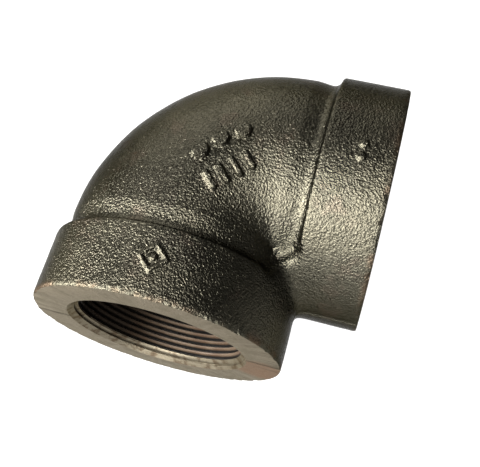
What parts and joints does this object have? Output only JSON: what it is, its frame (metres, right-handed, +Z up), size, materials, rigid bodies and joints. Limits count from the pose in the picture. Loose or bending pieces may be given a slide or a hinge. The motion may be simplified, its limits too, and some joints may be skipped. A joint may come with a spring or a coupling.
{
  "type": "threaded pipe elbow",
  "caption": "Ninety degree elbow casting with a reinforcing band and a female taper pipe thread at each end, for joining two pipes at a right angle.",
  "frame": {"origin": "middle of the bottom of the bounding box, with the fitting lying on its side and both ports level", "axes": "-Y out of the front port, +X out of the side port, +Z up, square to the plane of the bend"},
  "size_m": [0.1064, 0.1064, 0.0867],
  "materials": {
    "cast_skin": "oiled black casting skin, slightly glossy",
    "cut_thread": "machine cut, light rust in the roots",
    "raised_marks": "oiled black casting skin, rubbed on the tops"
  },
  "bodies": {
    "root": {"bend_shell": "cast_skin", "front_collar": "cast_skin", "side_collar": "cast_skin", "front_thread": "cut_thread", "side_thread": "cut_thread", "class_button_1": "raised_marks", "class_button_2": "raised_marks", "class_button_3": "raised_marks", "class_bar_1": "raised_marks", "class_bar_2": "raised_marks", "class_bar_3": "raised_marks", "class_bar_4": "raised_marks", "badge_frame": "raised_marks", "badge_pip": "raised_marks", "size_pip_1": "raised_marks", "size_pip_2": "raised_marks"}
  },
  "joints": []
}
